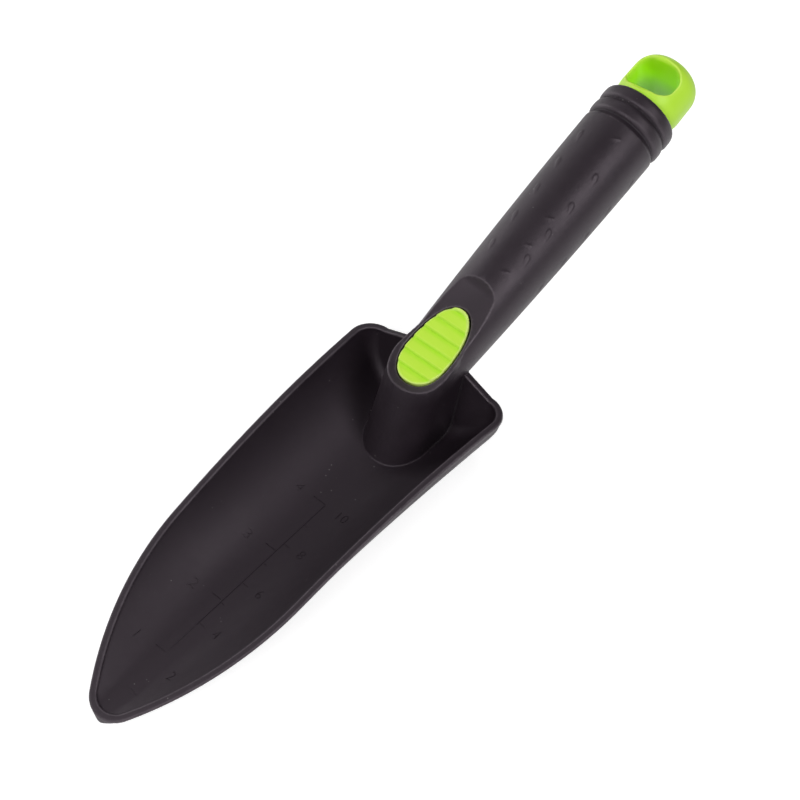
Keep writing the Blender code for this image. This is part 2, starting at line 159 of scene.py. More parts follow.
bladeSizes = {
    "length": 164.0,
    "rearWidth": 65.4,
    "taper": 0.0486,
    "straight": 101.4,
    "tipRadius": 9.8,
    "cornerRadius": 9.0,
    "rearSweep": 0.097,
    "rimHeight": 24.3,
    "rimCrest": 36.5,
    "rimRearDrop": 1.9,
    "rimTipHeight": 0.1,
    "rimFallPower": 1.8,
    "rearRimRise": 0.31,
    "rearLean": radians(15.0),
    "rearFootFillet": 5.0,
    "heelRadius": 1.5,
    "sideLean": radians(11.5),
    "bowLean": radians(68.0),
    "leanGrowth": 2.8,
    "rimThickness": 2.6,
    "rimRounding": 0.8,
    "floorThickness": 3.6,
    "soleWidth": 16.0,
    "floorFlat": 7.0,
    "sectionPower": 2.15,
    "cornerFillet": 3.2,
    "lipDepth": 2.0,
    "lipGroove": 0.4,
    "lipReach": 2.4,
    "cornerSteps": 24,
    "sideSteps": 24,
    "bowSteps": 40,
    "tipSteps": 16,
    "wallSteps": 44,
    "smoothRounds": 60,
    "rimShares": (0.02, 0.07, 0.15, 0.4, 0.7, 0.88, 0.95, 0.985),  # of the way across the rim
    "rimRises": (0.45, 0.78, 0.95, 1.0, 1.0, 0.95, 0.75, 0.4),  # of its rounding there
}

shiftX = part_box("trowel_moulding")[1].x / mm - bladeSizes["length"]
toRow = Matrix.Scale(mm, 4) @ Matrix.Translation((shiftX, 0.0, bladeSizes["floorThickness"]))


def bowCircle():
    s = bladeSizes
    tipCentre = s["length"] - s["tipRadius"]
    tilt = atan2(s["taper"], 1.0)
    across = Vector((sin(tilt), cos(tilt)))
    start = Vector((s["straight"], s["rearWidth"] / 2 - s["taper"] * s["straight"]))
    gap = start - Vector((tipCentre, 0.0))
    radius = (gap.length_squared - s["tipRadius"] ** 2) / (2 * (gap.dot(across) - s["tipRadius"]))
    return start - across * radius, radius, tilt


def halfOutline(inset):
    # Plan points from the rear corner to the tip, moved in by the inset
    s = bladeSizes
    centre, radius, tilt = bowCircle()
    cornerY = s["rearWidth"] / 2 - s["taper"] * s["cornerRadius"] - s["cornerRadius"] / cos(tilt)
    corner = Vector((s["cornerRadius"], cornerY))
    points = []
    for i in range(s["cornerSteps"]):
        turn = pi - (pi / 2 + tilt) * i / s["cornerSteps"]
        points.append(corner + (s["cornerRadius"] - inset) * Vector((cos(turn), sin(turn))))
    across = Vector((sin(tilt), cos(tilt)))
    first = corner + (s["cornerRadius"] - inset) * across
    last = centre + (radius - inset) * across
    for i in range(s["sideSteps"]):
        points.append(first.lerp(last, i / s["sideSteps"]))
    tipCentre = Vector((s["length"] - s["tipRadius"], 0.0))
    towardTip = tipCentre - centre
    endTurn = atan2(towardTip.y, towardTip.x)
    startTurn = pi / 2 - tilt
    for i in range(s["bowSteps"]):
        turn = startTurn + (endTurn - startTurn) * i / s["bowSteps"]
        points.append(centre + (radius - inset) * Vector((cos(turn), sin(turn))))
    for i in range(s["tipSteps"] + 1):
        turn = endTurn * (1 - i / s["tipSteps"])
        points.append(tipCentre + (s["tipRadius"] - inset) * Vector((cos(turn), sin(turn))))
    return points


def rimHeightAt(x):
    s = bladeSizes
    past = np.clip((x - s["rimCrest"]) / (s["length"] - s["rimCrest"]), 0.0, 1.0)
    before = np.clip((s["rimCrest"] - x) / s["rimCrest"], 0.0, 1.0)
    fall = (s["rimHeight"] - s["rimTipHeight"]) * past ** s["rimFallPower"]
    return s["rimHeight"] - fall - s["rimRearDrop"] * before**2


def rearTop(offset):
    # Where the middle of the rear wall ends above, and how far aside its corners are
    s = bladeSizes
    cornerY = halfOutline(0.0)[0].y
    top = rimHeightAt(0.0) + s["rearRimRise"] * cornerY - s["rimRounding"]
    return -s["rearSweep"] * cornerY + s["rimThickness"] - offset, top, cornerY


def wallSlopeAt(x):
    # How far a side wall leans out as it rises
    s = bladeSizes
    along = np.clip(x / s["length"], 0.0, 1.0) ** s["leanGrowth"]
    return np.tan(s["sideLean"] + (s["bowLean"] - s["sideLean"]) * along)


def rearPath(offset, floor, fillet):
    # Down the middle of the rear wall from its rim to the floor, with a fillet at its foot
    s = bladeSizes
    topX, top, _ = rearTop(offset)
    footX = topX + (top - floor) * tan(s["rearLean"])
    turn = pi / 2 - s["rearLean"]
    arcX = footX + fillet * tan(turn / 2)
    arcZ = floor + fillet
    startX = arcX - fillet * sin(turn)
    startZ = arcZ - fillet * cos(turn)
    wallSteps = s["cornerSteps"] // 2
    arcSteps = s["cornerSteps"] - wallSteps
    shares = [i / wallSteps for i in range(wallSteps)]
    turns = [turn * (1 - i / arcSteps) for i in range(arcSteps + 1)]
    points = [(topX + (startX - topX) * share, top + (startZ - top) * share) for share in shares]
    return points + [(arcX - fillet * sin(angle), arcZ - fillet * cos(angle)) for angle in turns]


def bladeSection(row, rim, middle, flat):
    # One row of points across half of the blade, from the middle to the rim
    s = bladeSizes
    rimX, rimY, rimZ = rim
    middleX, middleZ = middle
    wall = max(0.0, 1 - row / s["cornerSteps"])
    height = rimZ - middleZ
    flat = min(flat, 0.4 * rimY)
    lean = min(wallSlopeAt(rimX) * max(height, 0.0), 0.5 * rimY) * (1 - wall)
    points = [Vector((middleX, 0.0, middleZ))]
    for i in range(s["wallSteps"]):
        angle = pi / 2 * i / (s["wallSteps"] - 1)
        across = sin(angle) ** (2 / s["sectionPower"])
        climb = 1 - max(cos(angle), 0.0) ** (2 / s["sectionPower"])
        share = (flat + (rimY - flat) * across) / rimY
        climb += (share - climb) * wall
        y = flat + (rimY - lean - flat) * across + lean * climb
        points.append(Vector((middleX + (rimX - middleX) * climb, y, middleZ + height * climb)))
    return points


def bladeRows(inset, offset, floor, flat, fillet):
    s = bladeSizes
    outline = halfOutline(inset)
    rear = rearPath(offset, floor, fillet)
    foot = rear[-1][0]
    last = s["cornerSteps"]
    rows = []
    for k, plan in enumerate(outline):
        if k <= last:
            middle = rear[k]
        else:
            share = (plan.x - outline[last].x) / (outline[-1].x - outline[last].x)
            middle = (plan.x + (foot - outline[last].x) * (1 - share) ** 3, floor)
        z = rimHeightAt(plan.x) - s["rimRounding"]
        if k == len(outline) - 1:
            rows.append([Vector((plan.x, 0.0, z))])
        else:
            rows.append(bladeSection(k, (plan.x, plan.y, z), middle, flat))
    return rows


def cavityDepth(spots, inset, offset, floor, flat, fillet):
    # How far points lie inside the trough and before its leaning rear wall, less than 0 outside
    s = bladeSizes
    x, y, z = spots[..., 0], np.abs(spots[..., 1]), spots[..., 2]
    rimY = s["rearWidth"] / 2 - s["taper"] * x - inset
    height = rimHeightAt(x) - s["rimRounding"] - floor
    lean = np.minimum(wallSlopeAt(x) * height, 0.5 * rimY)
    climb = (z - floor) / height
    low = np.clip(climb, 0.0, 1.0)
    width = rimY - lean - flat
    across = np.maximum(y - flat - lean * low, 0.0) / width
    down = np.maximum(1 - climb, 0.0)
    power = s["sectionPower"]
    size = (across**power + down**power) ** (1 / power) + 1e-9
    steep = np.hypot((across / size) ** (power - 1) / width, (down / size) ** (power - 1) / height)
    side = (1 - size) / np.maximum(steep, 1e-6)
    topX, top, cornerY = rearTop(offset)
    drop = s["rearRimRise"] * cornerY
    flare = (inset - topX - drop * tan(s["rearLean"])) / cornerY
    wall = (x - topX - (top - z) * tan(s["rearLean"]) - flare * y) * cos(s["rearLean"])
    middle = s["cornerFillet"] + s["rimThickness"] - inset
    rounding = middle + (s["cornerRadius"] - inset - middle) * low**4
    rounding += (fillet - middle) * (1 - low) ** 4
    corner = rounding - np.hypot(np.maximum(rounding - side, 0.0), np.maximum(rounding - wall, 0.0))
    return np.where(np.maximum(side, wall) < rounding, corner, np.minimum(side, wall))


def squaredRear(rows, face):
    # The rear rows spread over the true corner where the leaning wall meets the trough
    reach = bladeSizes["cornerSteps"] + 12
    spots = np.array([[tuple(point) for point in row] for row in rows[: reach + 1]])
    for _ in range(bladeSizes["smoothRounds"]):
        inner = spots[1:-1, 1:-1]
        around = (spots[:-2, 1:-1] + spots[2:, 1:-1] + spots[1:-1, :-2] + spots[1:-1, 2:]) / 4
        inner += 0.5 * (around - inner)
        spots[1:-1, 0] += 0.5 * ((spots[:-2, 0] + spots[2:, 0]) / 2 - spots[1:-1, 0])
        moving = spots[1:-1, :-1]
        depth = cavityDepth(moving, *face)
        slope = np.zeros_like(moving)
        for axis in range(3):
            nudge = np.zeros(3)
            nudge[axis] = 0.01
            change = cavityDepth(moving + nudge, *face) - cavityDepth(moving - nudge, *face)
            slope[..., axis] = change / 0.02
        size = np.maximum((slope**2).sum(-1), 1e-3)
        moving -= (np.clip(depth, -1.0, 1.0) / size)[..., None] * slope
        spots[:, 0, 1] = 0.0
    return [[Vector(spot) for spot in row] for row in spots.tolist()] + rows[reach + 1 :]


def bladeShell():
    s = bladeSizes
    bm = bmesh.new()
    faces = []
    for face in (
        (0.0, s["rimThickness"], -s["floorThickness"], s["soleWidth"] / 2, s["heelRadius"]),
        (s["rimThickness"], 0.0, 0.0, s["floorFlat"] / 2, s["rearFootFillet"]),
    ):
        rows = []
        for row in squaredRear(bladeRows(*face), face):
            right = [bm.verts.new(point) for point in row]
            left = [bm.verts.new((point.x, -point.y, point.z)) for point in row[:0:-1]]
            rows.append(left + right)
        skin(bm, rows[:-1], False)
        tip = rows[-1][0]
        for one, two in zip(rows[-2], rows[-2][1:]):
            bm.faces.new((one, two, tip))
        rim = [row[-1] for row in rows[:-1]] + [tip] + [row[0] for row in rows[-2:0:-1]]
        faces.append(rim + rows[0][:-1])
    outer, inner = faces
    loops = [outer]
    for share, rise in zip(s["rimShares"], s["rimRises"]):
        loop = []
        for one, two in zip(outer, inner):
            point = one.co.lerp(two.co, share)
            point.z += s["rimRounding"] * rise
            loop.append(bm.verts.new(point))
        loops.append(loop)
    skin(bm, loops + [inner])
    return placed("scoopAndGrip", bm)


# The neck, the grip and its bore

neckSizes = {
    "footRadius": 11.8,
    "topRadius": 10.9,
    "footReach": 22.0,
    "lean": radians(20.0),
    "inset": 0.8,
}

gripSizes = {
    "tilt": radians(17.7),
    "axisHeight": 29.7,
    "setBack": 4.0,
    "length": 109.85,
    "frontRadius": 11.9,
    "rearRadius": 14.58,
    "swell": 0.57,
    "root": 15.0,
    "wall": 1.6,
    "boreEnd": 24.0,
    "boreCrown": 4.5,
    "ringRadius": 14.75,
    "ringWidth": 5.95,
    "ringGroove": 1.3,
    "ringFloor": 0.5,
    "ringRise": 1.5,
    "ringFall": 2.2,
    "ringLead": 1.8,
    "endDrop": 0.85,
    "roundSteps": 160,
}

# From the grip's own places, along its axis, beside it and above it, to the blade's
tiltCos, tiltSin = cos(gripSizes["tilt"]), sin(gripSizes["tilt"])
gripTurn = Matrix(((-tiltCos, 0.0, tiltSin), (0.0, -1.0, 0.0), (tiltSin, 0.0, tiltCos)))
gripAxis = Matrix.Translation((-gripSizes["setBack"], 0.0, gripSizes["axisHeight"])) @ gripTurn.to_4x4()

cutterReach = 5.0  # How far a cutting tool goes past what it cuts


def gripRadiusAt(s):
    g = gripSizes
    share = s / g["length"]
    straight = g["frontRadius"] + (g["rearRadius"] - g["frontRadius"]) * share
    return straight + 4 * g["swell"] * share * (1 - share)


def wallAt(z):
    # Where the rear wall's inner face stands at one height
    path = rearPath(0.0, 0.0, bladeSizes["rearFootFillet"])
    if z >= path[0][1]:
        return path[0][0]
    for (upX, upZ), (downX, downZ) in zip(path, path[1:]):
        if z >= downZ:
            return downX + (upX - downX) * (z - downZ) / (upZ - downZ)
    return path[-1][0]


def neckCone():
    n, g = neckSizes, gripSizes
    bm = bmesh.new()
    top = g["axisHeight"] + g["frontRadius"]
    bottom = -bladeSizes["floorThickness"] / 2
    cutHalf = sqrt(gripRadiusAt(0.0) ** 2 - restLevel**2) - n["inset"]
    steps = 24
    arc = g["roundSteps"] // 2
    rows = []
    for i in range(steps + 1):
        z = bottom + (top - bottom) * i / steps
        radius = n["footRadius"] + (n["topRadius"] - n["footRadius"]) * z / top
        centre = n["footReach"] - tan(n["lean"]) * z
        back = min(wallAt(z) - bladeSizes["rimThickness"] / 2, centre)
        share = min(max((z - g["axisHeight"]) / restLevel, 0.0), 1.0)
        half = radius + (cutHalf - radius) * share
        row = [bm.verts.new((back, -half, z))]
        for j in range(arc + 1):
            turn = -pi / 2 + pi * j / arc
            row.append(bm.verts.new((centre + radius * cos(turn), radius * sin(turn), z)))
        row.append(bm.verts.new((back, half, z)))
        rows.append(row)
    loft(bm, rows)
    return placed("neckCone", bm)


def turned(name, profile):
    # A solid turned about the grip's axis from (s, r) points that begin and end on it
    bm = bmesh.new()
    steps = gripSizes["roundSteps"]
    turns = [2 * pi * i / steps for i in range(steps)]
    ends = [bm.verts.new((profile[i][0], 0.0, 0.0)) for i in (0, -1)]
    rings = [[bm.verts.new((s, r * sin(turn), r * cos(turn))) for turn in turns] for s, r in profile[1:-1]]
    skin(bm, rings)
    for end, ring in ((ends[0], rings[0]), (ends[1], rings[-1])):
        for i in range(steps):
            bm.faces.new((end, ring[i], ring[(i + 1) % steps]))
    return placed(name, bm, gripAxis)


def ringProfile(start, drop):
    # One ring that rises steeply from its groove on the blade's side and rounds off toward the end
    g = gripSizes
    groove = g["ringRadius"] - g["ringGroove"]
    points = [(start, groove)]
    for sine, cosine in quarterTurn(10):
        s = start + g["ringFloor"] + g["ringRise"] * (1 - cosine)
        points.append((s, groove + g["ringGroove"] * sine))
    for sine, cosine in quarterTurn(10):
        s = start + g["ringWidth"] - g["ringFall"] * (1 - sine)
        points.append((s, g["ringRadius"] - drop * (1 - cosine)))
    return points


def gripBody():
    g = gripSizes
    ringsStart = g["length"] - 2 * g["ringWidth"]
    lead = ringsStart - g["ringLead"]
    places = [-g["root"] + (lead + g["root"]) * i / 30 for i in range(31)]
    profile = [(-g["root"], 0.0)] + [(s, gripRadiusAt(s)) for s in places]
    profile += ringProfile(ringsStart, g["ringGroove"])
    profile += ringProfile(ringsStart + g["ringWidth"], g["endDrop"])[1:]
    return turned("gripBody", profile + [(g["length"], 0.0)])


def boreRadiusAt(s):
    return gripRadiusAt(s) - gripSizes["wall"]


def gripBore():
    g = gripSizes
    mouth = boreRadiusAt(g["length"])
    start = boreRadiusAt(g["boreEnd"])
    past = g["length"] + cutterReach
    profile = [(g["boreEnd"] - g["boreCrown"] * cosine, start * sine) for sine, cosine in quarterTurn(10)]
    profile += [(g["length"] - capSizes["plugLength"] - cutterReach, mouth), (past, mouth), (past, 0.0)]
    return turned("gripBore", profile)


# The thumb rest and the pocket under the pad

restSizes = {
    "depth": 5.9,
    "run": 29.0,
    "climb": 4.9,
    "endStart": 17.3,
    "endRadius": 3.2,
    "flatStart": 7.0,
    "dishRadius": 45.0,
    "lipStart": 18.0,
    "lipRadius": 12.0,
}

padSizes = {
    "centre": 9.9,
    "front": 11.7,
    "rear": 19.7,
    "halfWidth": 8.6,
    "proud": 1.0,
    "thickness": 3.6,
    "power": 2.2,
    "gap": 0.5,
    "aside": 0.22,
    "ribPitch": 5.1,
    "ribStep": 0.6,
    "ribPlaces": (0.0, 0.5, 0.85, 1.0),
    "ribHeights": (1.0, 0.75, 0.0, 1.0),
    "edge": 0.6,
    "alongSteps": 260,
    "acrossSteps": 44,
    "sharp": 40.0,
}

restLevel = gripSizes["frontRadius"] - restSizes["depth"]
padTop = restLevel + padSizes["proud"]
padBottom = padTop - padSizes["thickness"]
restArcRadius = (restSizes["run"] ** 2 + restSizes["climb"] ** 2) / (2 * restSizes["climb"])


def restHeightAt(s, y):
    r = restSizes
    rise = s + r["flatStart"]
    level = restLevel + y * y / (2 * r["dishRadius"])
    if rise > 0:
        level += restArcRadius - sqrt(max(restArcRadius**2 - rise**2, 0.0))
    end = s - r["endStart"]
    if end > 0:
        level += end**2 / (2 * r["endRadius"])
    lip = -s - r["lipStart"]
    if lip > 0:
        level += lip**2 / (2 * r["lipRadius"])
    return level


def restTool():
    r, g = restSizes, gripSizes
    bm = bmesh.new()
    front = -r["lipStart"] - r["lipRadius"]
    back = r["run"] - r["flatStart"] + cutterReach
    half = g["rearRadius"] + cutterReach
    along, across = 120, 60
    sides = [half * (2 * j / across - 1) for j in range(across + 1)]
    rows = []
    for i in range(along + 1):
        s = front + (back - front) * i / along
        top = max(restHeightAt(s, half), g["rearRadius"]) + cutterReach
        low = [bm.verts.new((s, y, restHeightAt(s, y))) for y in sides]
        rows.append(low + [bm.verts.new((s, half, top)), bm.verts.new((s, -half, top))])
    loft(bm, rows)
    return placed("restTool", bm, gripAxis)


def padPoint(turn, grow):
    # A point of the pad's egg outline, grown all round
    p = padSizes
    along, across = cos(turn), sin(turn)
    reach = (p["rear"] if along > 0 else p["front"]) + grow
    half = p["halfWidth"] + grow
    along = abs(along) ** (2 / p["power"]) * (1 if along > 0 else -1)
    across = abs(across) ** (2 / p["power"]) * (1 if across > 0 else -1)
    return reach * along - p["centre"], half * across


def pocketTool():
    bm = bmesh.new()
    steps = 160
    levels = padBottom - capSizes["seatGap"], 2 * padTop + cutterReach
    outline = [padPoint(2 * pi * i / steps, padSizes["gap"]) for i in range(steps)]
    loft(bm, [[bm.verts.new((*point, level)) for point in outline] for level in levels])
    return placed("pocketTool", bm, gripAxis)


# What is pushed in or out of the soft mesh afterwards: the line under the rim and the grip marks


def readSpots(piece):
    points = piece.data.vertices
    spots, normals = np.empty(len(points) * 3), np.empty(len(points) * 3)
    points.foreach_get("co", spots)
    points.foreach_get("normal", normals)
    return spots.reshape(-1, 3) / mm, normals.reshape(-1, 3)


def pushed(piece, spots, normals, depth):
    # Moves every point in along its own normal
    piece.data.vertices.foreach_set("co", ((spots - normals * depth[:, None]) * mm).ravel())
    piece.data.update()


def bendAt(piece, spots, normals, rounds):
    # How sharply the mesh bends outward at each point, per millimetre, and below 0 in its hollows
    pairs = np.empty(2 * len(piece.data.edges), dtype=np.int32)
    piece.data.edges.foreach_get("vertices", pairs)
    one, two = pairs.reshape(-1, 2).T
    count = len(spots)
    step = spots[two] - spots[one]
    size = (step**2).sum(1) + 1e-6
    bend = np.bincount(two, (normals[two] * step).sum(1) / size, count)
    bend -= np.bincount(one, (normals[one] * step).sum(1) / size, count)
    links = np.bincount(one, minlength=count) + np.bincount(two, minlength=count)
    bend /= np.maximum(links, 1)
    for _ in range(rounds):
        bend = (bend + np.bincount(one, bend[two], count) + np.bincount(two, bend[one], count)) / (links + 1)
    return bend


def marked(piece, name, values):
    # Keeps one number per point for the materials
    piece.data.attributes.new(name, "FLOAT", "POINT").data.foreach_set("value", values)
    return piece


def carriedOver(piece, spots, values, least):
    # The values of a finer mesh at the points of the thinned one
    strong = np.nonzero(np.abs(values) > least)[0]
    tree = KDTree(len(strong))
    for i, spot in enumerate(spots[strong].tolist()):
        tree.insert(spot, i)
    tree.balance()
    found = [tree.find(spot) for spot in readSpots(piece)[0].tolist()]
    return np.array([values[strong[i]] if gap < 0.7 else 0.0 for place, i, gap in found])


def smoothStep(low, high, value):
    share = np.clip((value - low) / (high - low), 0.0, 1.0)
    return share * share * (3 - 2 * share)


def rimLine():
    # Points along the rim's outer edge, in the blade's millimetres
    s = bladeSizes
    points = [Vector((point.x, point.y, rimHeightAt(point.x))) for point in halfOutline(0.0)]
    corner = points[0]
    points.insert(0, Vector((-s["rearSweep"] * corner.y, 0.0, corner.z + s["rearRimRise"] * corner.y)))
    dense = []
    for one, two in zip(points, points[1:]):
        steps = ceil((two - one).length / 0.4)
        dense += [tuple(one.lerp(two, i / steps)) for i in range(steps)]
    return np.array(dense)


def lipGroove(spots, normals):
    # The wall steps back under the rim's band and comes out again lower down
    s = bladeSizes
    local = spots - np.array((shiftX, 0.0, s["floorThickness"]))
    local[:, 1] = np.abs(local[:, 1])
    facing = normals.copy()
    facing[:, 1] *= np.sign(spots[:, 1])
    line = rimLine()
    depth = np.zeros(len(spots))
    near = np.nonzero((local[:, 2] > -s["floorThickness"]) & (np.hypot(facing[:, 0], facing[:, 1]) > 0.5))[0]
    for part in np.array_split(near, max(1, len(near) // 4000)):
        gap = local[part, None, :2] - line[None, :, :2]
        best = (gap**2).sum(-1).argmin(1)
        away = -gap[np.arange(len(part)), best]
        down = line[best, 2] - local[part, 2]
        outward = (away * facing[part, :2]).sum(1) >= -0.2
        close = np.hypot(away[:, 0], away[:, 1]) < s["lipReach"]
        scale = np.clip((line[best, 2] + s["floorThickness"]) / 10.0, 0.3, 1.0)
        deep = s["lipDepth"] * scale
        step = smoothStep(0.85 * deep, 1.05 * deep, down) * (1 - smoothStep(1.2 * deep, 3.0 * deep, down))
        depth[part] = np.where(outward & close, s["lipGroove"] * scale * step, 0.0)
    return depth


def gripPlaces(spots):
    # Places along the grip's axis, beside it and above it, in its own millimetres
    turn = (toRow @ gripAxis).inverted()
    return ((spots * mm) @ np.array(turn.to_3x3()).T + np.array(turn.translation)).T


leafMark = {"length": 5.6, "width": 2.6, "rise": 0.16, "slant": -18.0}
strokeMark = {"length": 4.0, "width": 1.3, "rise": 0.14, "slant": 62.0}
fiveMarks = (84.6, 71.8, 59.6, 46.9, 34.0)
fourMarks = (73.5, 60.0, 47.4, 35.6)
markReach = (20.0, 97.0)

# Each row's turn round the grip in degrees, the places of its marks along it, and their kind
markRows = (
    (-28.0, fiveMarks, leafMark),
    (34.0, fourMarks, leafMark),
    (20.0, (90.0, 52.5, 40.0, 27.8), strokeMark),
    (96.0, fiveMarks, leafMark),
    (158.0, fourMarks, leafMark),
    (-90.0, fourMarks, leafMark),
    (-152.0, fiveMarks, leafMark),
)


def gripMarks(spots):
    # Small leaf marks in rows that rise from the grip toward the cap and end steeply
    along, side, up = gripPlaces(spots)
    around = np.degrees(np.arctan2(-side, up))
    depth = np.zeros(len(spots))
    low, high = markReach
    onGrip = (along > low) & (along < high) & (np.hypot(side, up) > gripRadiusAt(along) - 0.8)
    for angle, places, kind in markRows:
        turn = radians(kind["slant"])
        for s in places:
            across = np.radians((around - angle + 180.0) % 360.0 - 180.0) * gripRadiusAt(s)
            ahead = ((along - s) * cos(turn) + across * sin(turn)) / kind["length"] * 2
            aside = (across * cos(turn) - (along - s) * sin(turn)) / kind["width"] * 2
            leaf = 1 - np.sqrt(ahead**2 + (aside / np.clip(0.75 + 0.45 * ahead, 0.25, 1.2)) ** 2)
            mark = kind["rise"] * (0.35 + 0.65 * smoothStep(-1.0, 0.6, ahead)) * smoothStep(0.0, 0.35, leaf)
            depth -= np.where(onGrip & (np.abs(ahead) < 2.0) & (np.abs(aside) < 2.0), mark, 0.0)
    return depth


# The depth scale cut into the blade's floor

scaleSizes = {
    "zero": 159.7,
    "lineStart": 59.0,
    "lineEnd": 121.0,
    "faintEnd": 133.0,
    "lineBreak": 0.8,
    "hookStart": (150.4, 0.3),
    "hookEnd": (151.1, 4.1),
    "stroke": 0.3,
    "faintStroke": 0.18,
    "depth": 0.22,
    "faintDepth": 0.1,
    "digitDepth": 0.26,
    "centimetre": 10.0,
    "inch": 25.4,
    "centimetres": (10, 8, 6, 4, 2),
    "inches": (4, 3, 2, 1),
    "centimetreSide": 7.6,
    "inchSide": -10.8,
    "inchShift": 2.1,
    "tick": 2.4,
    "inchTick": 1.8,  # in ticks, and so is the next
    "endTick": 2.1,
    "digit": 5.4,
}


def numberMesh(text, size):
    # A flat mesh of a number, its middle at the origin
    letters = bpy.data.curves.new(text, "FONT")
    letters.body = text
    letters.size = size
    letters.align_x = letters.align_y = "CENTER"
    letters.offset = -0.022 * size
    letters.resolution_u = 3
    holder = added(text, letters)
    bpy.context.view_layer.update()
    mesh = bpy.data.meshes.new_from_object(holder.evaluated_get(bpy.context.evaluated_depsgraph_get()))
    bpy.data.objects.remove(holder)
    bpy.data.curves.remove(letters)
    # Small faces, so that the number can follow the curved floor
    bm = bmesh.new()
    bm.from_mesh(mesh)
    bmesh.ops.remove_doubles(bm, verts=bm.verts, dist=0.001)
    bmesh.ops.triangulate(bm, faces=bm.faces)
    bmesh.ops.subdivide_edges(bm, edges=bm.edges, cuts=2, use_grid_fill=True)
    bm.to_mesh(mesh)
    bm.free()
    return mesh


def flatStrip(bm, start, end, width):
    # A narrow strip of short quads in the plan
    along = Vector(end) - Vector(start)
    aside = Vector((-along.y, along.x)).normalized() * width / 2
    steps = max(1, ceil(along.length / 1.5))
    pairs = []
    for i in range(steps + 1):
        middle = Vector(start) + along * i / steps
        pairs.append([bm.verts.new((*(middle + aside * side), 0.0)) for side in (1, -1)])
    for one, two in zip(pairs, pairs[1:]):
        bm.faces.new((one[0], one[1], two[1], two[0]))


def scaleTool(piece):
    k = scaleSizes
    bm = bmesh.new()
    flatStrip(bm, (k["lineStart"], 0.0), (k["lineEnd"], 0.0), k["stroke"])
    flatStrip(bm, (k["lineEnd"] + k["lineBreak"], 0.0), (k["faintEnd"], 0.0), k["faintStroke"])
    flatStrip(bm, k["hookStart"], k["hookEnd"], k["faintStroke"])
    gap = k["stroke"]
    for number in range(1, 10):
        x = k["zero"] - k["centimetre"] * number
        tick = k["tick"] * (1.0 if number % 2 == 0 else 0.5)
        if k["lineStart"] < x < k["faintEnd"]:
            flatStrip(bm, (x, gap), (x, gap + tick), k["faintStroke"])
    end = k["lineStart"]
    flatStrip(bm, (end, -gap), (end, -gap - k["endTick"] * k["tick"]), 1.4 * k["stroke"])
    for number in reversed(k["inches"]):
        x = k["zero"] - k["inch"] * number
        if x > k["lineStart"]:
            flatStrip(bm, (x, -gap), (x, -gap - k["inchTick"] * k["tick"]), k["stroke"])
    for numbers, pitch, side, shift in (
        (k["centimetres"], k["centimetre"], k["centimetreSide"], 0.0),
        (k["inches"], k["inch"], k["inchSide"], k["inchShift"]),
    ):
        for number in numbers:
            mesh = numberMesh(str(number), k["digit"])
            x = k["zero"] - pitch * number + shift
            mesh.transform(Matrix.Translation((x, side, 0.0)) @ Matrix.Rotation(pi / 2, 4, "Z"))
            bm.from_mesh(mesh)
            bpy.data.meshes.remove(mesh)
    bmesh.ops.remove_doubles(bm, verts=bm.verts, dist=0.001)
    corners = [toRow.inverted() @ v.co for v in piece.data.vertices]
    tree = BVHTree.FromPolygons(corners, [tuple(f.vertices) for f in piece.data.polygons])
    flat = list(bm.faces)
    edges = [edge for edge in bm.edges if len(edge.link_faces) == 1]
    floor = {}
    for vertex in list(bm.verts):
        hit = tree.ray_cast(Vector((vertex.co.x, vertex.co.y, 15.0)), Vector((0.0, 0.0, -1.0)))[0]
        depth = k["digitDepth"]
        if abs(vertex.co.y) < 0.5 * k["centimetreSide"]:
            depth = k["faintDepth"] if vertex.co.x > k["lineEnd"] + 0.5 else k["depth"]
        floor[vertex] = bm.verts.new((vertex.co.x, vertex.co.y, hit.z - depth))
        vertex.co.z = hit.z + 1.0
    for face in flat:
        bm.faces.new([floor[vertex] for vertex in reversed(face.verts)])
    for edge in edges:
        one, two = edge.verts
        bm.faces.new((one, two, floor[two], floor[one]))
    return placed("scaleTool", bm)


blackMesh = {"voxel": 0.3, "mostTriangles": 190000, "sharp": 50.0}


def scoopAndGrip():
    piece = bladeShell()
    carve(piece, neckCone(), "UNION")
    carve(piece, gripBody(), "UNION")
    carve(piece, restTool())
    carve(piece, pocketTool())
    carve(piece, gripBore())
    softened(piece, blackMesh["voxel"], 2)
    spots, normals = readSpots(piece)
    pushed(piece, spots, normals, lipGroove(spots, normals) + gripMarks(spots))
    spots, normals = readSpots(piece)
    bend = bendAt(piece, spots, normals, 2)
    # Hollows keep their painted shade only up to 10 mm along the blade from its rear edge, fading out by 24
    # mm, and on the grip behind it
    bend *= np.where(bend < 0, 1 - smoothStep(10.0, 24.0, spots[:, 0] - shiftX), 1.0)
    thinned(piece, blackMesh["mostTriangles"])
    carve(piece, scaleTool(piece))
    return marked(piece, "bend", carriedOver(piece, spots, bend, 0.04))


# The pad


def padShare(s):
    # How far a place along the pad is from its middle, as a share of the pad's reach there
    past = s + padSizes["centre"]
    return np.abs(past) / np.where(past > 0, padSizes["rear"], padSizes["front"])


def padInside(s, y):
    # How far in from the pad's edge a place is
    p = padSizes
    level = padShare(s) ** p["power"] + (np.abs(y) / p["halfWidth"]) ** p["power"]
    return (1 - np.minimum(level, 1.0) ** (1 / p["power"])) * p["halfWidth"]


def ribRise(s):
    # How far the stepped face stands above the bottom of its steps
    p = padSizes
    place = ((s + p["centre"] + p["front"]) / p["ribPitch"]) % 1.0
    return p["ribStep"] * np.interp(place, p["ribPlaces"], p["ribHeights"])


